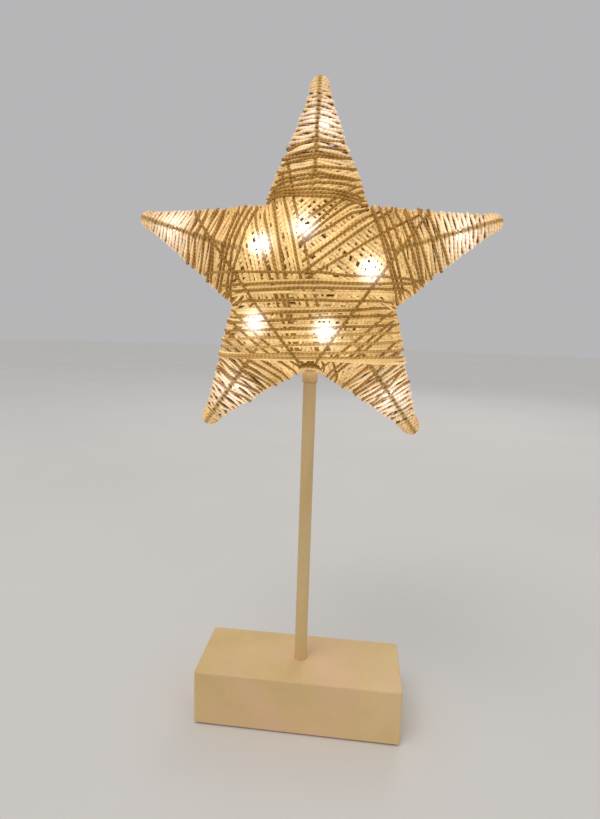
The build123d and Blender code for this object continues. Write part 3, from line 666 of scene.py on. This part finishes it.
# darker strands seen one by one, their darkness painted shade (points in mm from the star's centre)
UPPER_RIGHT = [((4.0, 0.9), (35.8, 21.3)), ((1.8, 4.3), (35.7, 31.2)), ((1.6, 10.3), (32.8, 34.3)), ((1.9, 19.8), (29.9, 38.9)),
               ((1.6, 22.6), (18.5, 36.6)), ((1.6, 26.6), (14.5, 38.6)), ((-2.6, 29.5), (9.1, 38.5))]
UPPER_LEFT = [((-9.7, 38.1), (2.0, -4.3)), ((-15.1, 39.0), (-4.2, -3.0)), ((-21.4, 39.3), (-11.8, -0.1)), ((-27.8, 38.1), (-16.5, 1.4)),
              ((-33.0, 32.5), (-26.5, 12.4))]
ROOT_LEFT = [((-33.0, 39.5), (-43.6, 2.5)), ((-37.4, 39.5), (-44.6, 10.3)), ((-40.4, 39.6), (-47.5, 15.6))]
ROOT_RIGHT = [((31.3, 38.9), (42.5, 6.5)), ((33.2, 35.9), (51.1, -10.9)), ((37.0, 35.9), (51.5, -6.1))]
LOWER_LEFT = [((-47.4, -19.1), (-5.1, -52.4)), ((-49.7, -24.3), (-8.9, -54.3)), ((-51.3, -31.0), (-14.9, -56.7)), ((-52.1, -37.1), (-18.0, -59.0)),
              ((-52.1, -41.6), (-25.4, -59.8)), ((-51.9, -46.1), (-30.4, -59.8))]
LOWER_RIGHT = [((36.4, -26.9), (6.3, -52.9)), ((48.0, -22.3), (18.3, -48.8)), ((44.6, -28.9), (13.1, -56.7)), ((54.2, -30.9), (31.5, -52.0)),
               ((55.9, -35.9), (37.4, -54.7))]
LEVEL = [((-40.6, 1.0), (36.0, -0.5)), ((-46.5, -6.3), (54.2, -3.4)), ((-48.6, -9.3), (54.5, -6.3)), ((-47.4, -15.1), (48.4, -12.9)),
         ((-21.1, -21.9), (52.1, -16.2)), ((-20.2, -25.2), (54.4, -19.7)), ((-23.2, -30.5), (45.2, -26.1)), ((-24.1, -35.1), (43.9, -30.5)),
         ((-11.1, -39.0), (41.8, -35.7)), ((-12.8, -43.7), (31.1, -41.4)), ((-9.0, -45.9), (9.0, -45.3))]
LONG = [((-49.2, 9.3), (-2.4, -48.6)), ((52.2, 20.6), (1.2, -50.0))]
ROOT_TOP = [((-27.0, 41.6), (27.0, 40.6)), ((-26.0, 43.4), (26.0, 43.0)), ((-25.0, 45.8), (25.0, 44.9))]
ARM_OPEN = [(77.0, 5.0, 1.2), (78.0, 5.6, -1.0), (82.0, 5.4, 0.8), (83.0, 5.2, -1.2), (79.0, 5.6, 1.3)]   # how far out, pitch, lean


# each arm's first winding: distance between the pair's cords, pitch half way along, how far the cords part at the wires
ARM_FIRST = [(1.80, 5.05, 0.62), (2.05, 4.4, 0.22), (1.80, 5.1, 0.66), (1.92, 4.7, 0.42), (1.92, 4.75, 0.45)]


def drawn_together(arm, k):
    """Moves a pair's cords apart at the wires, so that they meet in the middle of each face."""
    g = math.radians(ARM_ANGLES[arm])
    ax, lat = np.array([math.cos(g), math.sin(g)]), np.array([math.sin(g), -math.cos(g)])

    def move(p):
        xz = p[:, [0, 2]]
        a, s_ = xz @ ax, xz @ lat
        across = np.clip(np.abs(s_) / np.maximum(half_width(np.minimum(a, 106.0)), 1.0), 0, 1)
        shift = (ARM_FIRST[arm][2] if k == 0 else -ARM_FIRST[arm][2]) * (2 * across - 1) ** 2 * np.clip((a - 55) / 15, 0.2, 1)
        p = p.copy()
        p[:, 0] += ax[0] * shift
        p[:, 2] += ax[1] * shift
        return p

    return move


def pair_places(arm, seed):
    rng = np.random.default_rng(seed)
    mid = ARM_FIRST[arm][1]
    a, out = 104.3, []
    while a > 41.0:
        out.append(a)
        step = 4.1 if a > 98 else mid if a > 68 else 4.2
        a -= step + rng.uniform(-0.3, 0.3)
    return np.array(out)


# bright first windings of the arms: two cords side by side
for arm in range(5):
    seed = 100 + 40 * arm
    places = pair_places(arm, seed)
    for k in (0, 1):
        laid(arms[arm], arm_stops(arm, places - ARM_FIRST[arm][0] * k, 0.6 - 0.3 * (arm % 3), -2.2), CORD_R, 0, seed + 1 + 7 * k, 0.30, 7.0, 0.8,
             shade=frame_shade, move=drawn_together(arm, k))
    path = tip_cap(arm, 101.4, 1.62, np.random.default_rng(seed + 3))
    arms[arm].add(resample(path, 0.8), CORD_R, 0, seed + 4, shade=frame_shade)

# windings of the body: five directions, each on its own side of the middle
laid(inner, family(1, 3, spread(1.0, 40.0, 2.8, 491, 0.33), -1.5), 0.88, 0, 492, 0.5, shade=frame_shade)
laid(inner, family(2, 4, spread(1.5, 40.0, 2.5, 501, 0.33), 1.0), 0.90, 0, 502, shade=frame_shade)
laid(inner, family(3, 0, spread(1.5, 40.0, 2.5, 511, 0.33), -1.5), 0.90, 0, 512, shade=frame_shade)
laid(middle, family(4, 1, spread(1.5, 41.0, 2.9, 521, 0.33), 2.0), 0.88, 0, 522, shade=frame_shade)
laid(last, strands(UPPER_RIGHT), 0.76, 3, 801, 0.4, 18.0)
laid(middle, family(0, 2, spread(2.4, 40.0, 2.7, 531, 0.33), -2.5), 0.88, 1, 532, shade=frame_shade)
laid(last, strands(UPPER_LEFT), 0.76, 3, 811, 0.4, 18.0)
laid(outer, family(1, 3, spread(3.5, 43.0, 3.5, 541, 0.33), 1.5), 0.86, 1, 542, shade=frame_shade)

# open turns over the arms, towards the body
for arm, lines, lo in ((1, ROOT_LEFT, 54.0), (2, LOWER_LEFT, 71.0), (3, LOWER_RIGHT, 70.0), (4, ROOT_RIGHT, 51.5), (0, ROOT_TOP, 48.0)):
    seed = 600 + 40 * arm
    far, pitch, lean = ARM_OPEN[arm]
    laid(arms[arm], strands(lines), 0.76, 3, seed, 0.4, 16.0)
    laid(arms[arm], arm_stops(arm, spread(lo, far, pitch, seed + 1, 0.22), lean, pitch / 2), 0.74, 3, seed + 1, 0.45, 16.0)
    laid(arms[arm], arm_stops(arm, spread(lo + 6.0, far - 11.0, 12.0, seed + 10, 0.2), -2.4 * lean, 4.0), 0.74, 3, seed + 11, 0.5, 16.0)

# turns drawn across the lowest notch, in front of and behind the stem
low = [i for i in range(10) if abs(EDGES[i][0][0]) + abs(EDGES[i][1][0]) < 75 and min(EDGES[i][0][1], EDGES[i][1][1]) < -60]


def beside(x):
    """Stop on the edge beside the lowest notch, x to the left or right of it."""
    for i in low:
        p, q, e, n = EDGES[i]
        top, end = (p, q) if p[1] > q[1] else (q, p)
        if (end[0] > 0) == (x > 0):
            along = abs(x) / abs(e[0])
            return Stop(i, along if p[1] > q[1] else float(np.hypot(*(q - p))) - along)


laid(last, strands([((-20.0, -46.1), (20.0, -46.9)), ((-20.0, -46.9), (20.0, -46.2)), ((-20.0, -45.0), (20.0, -45.2))]), 0.84, 1, 879, 0.2, 16.0)
for k, (shade_layer, places) in enumerate(((1, (3.8, 4.4, 5.2, 6.2, 7.4)), (3, (3.9, 5.6)))):
    stops = []
    for j, x in enumerate(places):
        stops += [beside(-x), beside(x + 0.5)]
    laid(last, stops, 0.80, shade_layer, 881 + 10 * k, 0.2, 9.0, 0.9, sit=0.7)
laid(last, strands(LEVEL[7:]), 0.76, 2, 866, 0.45, 16.0, sit=0.75)
laid(last, strands(LEVEL[:7]), 0.76, 3, 861, 0.45, 16.0, sit=0.75)
laid(last, strands(LONG), 0.80, 4, 871, 0.15, 18.0, sit=1.15)

for arm, arm_name in enumerate(ARM_NAMES):
    arms[arm].make(cord_mats["cord_" + arm_name], "cord_" + arm_name, "twine_arm_" + arm_name)
inner.make(cord_mats["cord_body"], "cord_body", "twine_body")
for cords in (middle, outer, last):
    cords.make(cord_mats["cord_body"], "cord_body")

# =============================================================== materials on the CAD nodes
assign = {}
assign["base_block"] = painted("paint_block", srgb(220, 186, 126), srgb(230, 198, 140), srgb(238, 210, 156), 16.0, patch=srgb(238, 194, 158))[0]
assign["pole"] = painted("paint_pole", srgb(212, 180, 124), srgb(224, 194, 140), srgb(232, 206, 154), 60.0, rough=(0.34, 0.5), streak=(1.0, 1.0, 0.15))[0]
wire = painted("lacquer_wire", srgb(150, 118, 74), srgb(176, 142, 94), srgb(196, 164, 116), 90.0)[0]
for n in ("frame_outline", "front_ridges", "back_ridges"):
    assign[n] = wire
assign["frame_stem"] = metal("stem_steel", (0.62, 0.60, 0.56))
assign["battery_tray"] = plastic("tray_abs", srgb(214, 200, 172))
assign["battery_door"] = plastic("door_abs", srgb(218, 205, 178), 0.5)
assign["feet"] = plastic("foot_rubber", srgb(62, 58, 54), 0.8)
screw = metal("screw_zinc", (0.55, 0.55, 0.53), 0.3)
assign["tray_screws"] = screw
assign["board_screws"] = screw
assign["aa_cells"] = plastic("cell_sleeve", srgb(58, 66, 74), 0.3)
assign["contact_plates"] = metal("contact_nickel", (0.66, 0.64, 0.58), 0.22)
assign["contact_springs"] = metal("spring_nickel", (0.66, 0.64, 0.58), 0.2)
assign["circuit_board"] = plastic("board_green", srgb(34, 92, 52), 0.35, grain=400.0)
assign["timer_chip"] = plastic("chip_black", srgb(28, 28, 30), 0.5)
assign["resistor"] = plastic("resistor_tan", srgb(190, 156, 104), 0.3)
assign["switch_housing"] = metal("switch_tin", (0.62, 0.62, 0.60), 0.28)
assign["switch_slider"] = plastic("knob_black", srgb(34, 34, 34), 0.5)
assign["battery_leads"] = plastic("lead_red", srgb(176, 34, 26), 0.35)
assign["lead_wire"] = plastic("lead_ivory", srgb(220, 206, 176), 0.4)
assign["led_string"] = metal("string_copper", (0.80, 0.48, 0.26), 0.3)
assign["pole_nipple"] = metal("nipple_brass", (0.78, 0.60, 0.30), 0.3)
assign["pole_washer"] = metal("washer_zinc", (0.58, 0.58, 0.56), 0.3)
assign["pole_nut"] = metal("nut_zinc", (0.58, 0.58, 0.56), 0.3)


def collar_material():
    m, nt, p = material("collar_frosted")
    tex = add(nt, "ShaderNodeTexCoord").outputs["Object"]
    cloud = noise(nt, 260.0, 3.0, 0.5, tex)
    col = ramp(nt, cloud, [(0.3, srgb(196, 160, 104)), (0.7, srgb(216, 184, 130))])
    nt.links.new(col.outputs["Color"], p.inputs["Base Color"])
    nt.links.new(maths(nt, "MULTIPLY_ADD", cloud, 0.2, 0.3), p.inputs["Roughness"])
    # painted light: emission that rises towards the collar's top, for the star's light glowing in the frosted plastic
    sep = add(nt, "ShaderNodeSeparateXYZ", Vector=tex)
    up = nt.nodes.new("ShaderNodeMapRange")
    up.inputs["From Min"].default_value = 0.2195
    up.inputs["From Max"].default_value = 0.2265
    nt.links.new(sep.outputs["Z"], up.inputs["Value"])
    lit = ramp(nt, up.outputs["Result"], [(0.0, (0.02, 0.012, 0.004)), (1.0, (0.30, 0.19, 0.07))])
    nt.links.new(lit.outputs["Color"], p.inputs["Emission Color"])
    p.inputs["Emission Strength"].default_value = 0.8
    bump(nt, cloud, 0.2, 0.0001, p)
    return m


assign["pole_collar"] = collar_material()


def lamp_material():
    m, nt, p = material("led_resin")
    tex = add(nt, "ShaderNodeTexCoord").outputs["Object"]
    cloud = noise(nt, 500.0, 2.0, 0.5, tex)
    col = ramp(nt, cloud, [(0.3, srgb(255, 232, 190)), (0.7, srgb(255, 244, 220))])
    nt.links.new(col.outputs["Color"], p.inputs["Base Color"])
    lit = ramp(nt, cloud, [(0.3, (1.0, 0.66, 0.30)), (0.7, (1.0, 0.80, 0.50))])
    nt.links.new(lit.outputs["Color"], p.inputs["Emission Color"])
    p.inputs["Emission Strength"].default_value = 7.0
    p.inputs["Roughness"].default_value = 0.2
    return m


assign["led_bulbs"] = lamp_material()

for name, mat in assign.items():
    o = nodes[name]
    if not o.data.materials:
        o.data.materials.append(mat)
    for slot in o.material_slots:
        slot.material = mat

# =============================================================== stage
me = bpy.data.meshes.new("stage_floor")
R = 9.0
ring = [(R * math.cos(2 * math.pi * i / 64), R * math.sin(2 * math.pi * i / 64), 0.0) for i in range(64)]
me.from_pydata(ring, [], [list(range(64))])
floor = bpy.data.objects.new("stage_floor", me)
bpy.context.scene.collection.objects.link(floor)
m, nt, p = material("stage_pale")
fac = noise(nt, 3.0, 3.0, 0.5)
col = ramp(nt, fac, [(0.3, (0.74, 0.727, 0.705)), (0.7, (0.77, 0.757, 0.735))])
nt.links.new(col.outputs["Color"], p.inputs["Base Color"])
p.inputs["Roughness"].default_value = 0.85
p.inputs["Specular IOR Level"].default_value = 0.2
me.materials.append(m)

world = bpy.data.worlds.new("soft_world")
bpy.context.scene.world = world
world.use_nodes = True
world.node_tree.nodes["Background"].inputs["Color"].default_value = (0.52, 0.52, 0.53, 1)
world.node_tree.nodes["Background"].inputs["Strength"].default_value = 0.9


def area(name, loc, target, size, power, colour):
    d = bpy.data.lights.new(name, "AREA")
    d.shape = "DISK"
    d.size = size
    d.energy = power
    d.color = colour
    o = bpy.data.objects.new(name, d)
    bpy.context.scene.collection.objects.link(o)
    o.location = loc
    o.rotation_mode = "QUATERNION"
    o.rotation_quaternion = (Vector(target) - Vector(loc)).to_track_quat("-Z", "Y")
    return o


area("key", (-0.5, -0.7, 1.7), (0, 0, 0.12), 0.9, 4.0, (1.0, 0.95, 0.88))
area("fill", (1.3, -1.2, 0.8), (0, 0, 0.15), 1.2, 1.6, (1.0, 0.97, 0.94))
sun = bpy.data.lights.new("soft_sun", "SUN")
sun.energy, sun.angle, sun.color = 0.50, 0.7, (1.0, 0.955, 0.89)
sun_ob = bpy.data.objects.new("soft_sun", sun)
bpy.context.scene.collection.objects.link(sun_ob)
sun_ob.location = (-0.5, -0.7, 1.7)
sun_ob.rotation_mode = "QUATERNION"
sun_ob.rotation_quaternion = Vector((0.5, 0.7, -1.6)).to_track_quat("-Z", "Y")
area("rim", (0.4, 1.5, 1.3), (0, 0, 0.2), 1.0, 3.5, (1.0, 0.97, 0.93))

# =============================================================== camera
F_PX, YAW, PITCH, ROLL = 501.7, -0.1045, -0.1516, 0.0316
CAM = (0.02634, -0.30392, 0.24931)
fwd = Vector((math.sin(YAW) * math.cos(PITCH), math.cos(YAW) * math.cos(PITCH), math.sin(PITCH)))
right = Vector((math.cos(YAW), -math.sin(YAW), 0.0))
up = right.cross(fwd)
r = math.cos(ROLL) * right + math.sin(ROLL) * up
u = -math.sin(ROLL) * right + math.cos(ROLL) * up
cam_data = bpy.data.cameras.new("camera")
cam_data.sensor_width = 36.0
cam_data.lens = F_PX / 819.0 * 36.0
cam_data.clip_start, cam_data.clip_end = 0.01, 50.0
cam = bpy.data.objects.new("camera", cam_data)
bpy.context.scene.collection.objects.link(cam)
rot = Matrix((r, u, -fwd)).transposed()
cam.matrix_world = Matrix.Translation(Vector(CAM)) @ rot.to_4x4()
bpy.context.scene.camera = cam
bpy.context.scene.view_settings.view_transform = "Standard"
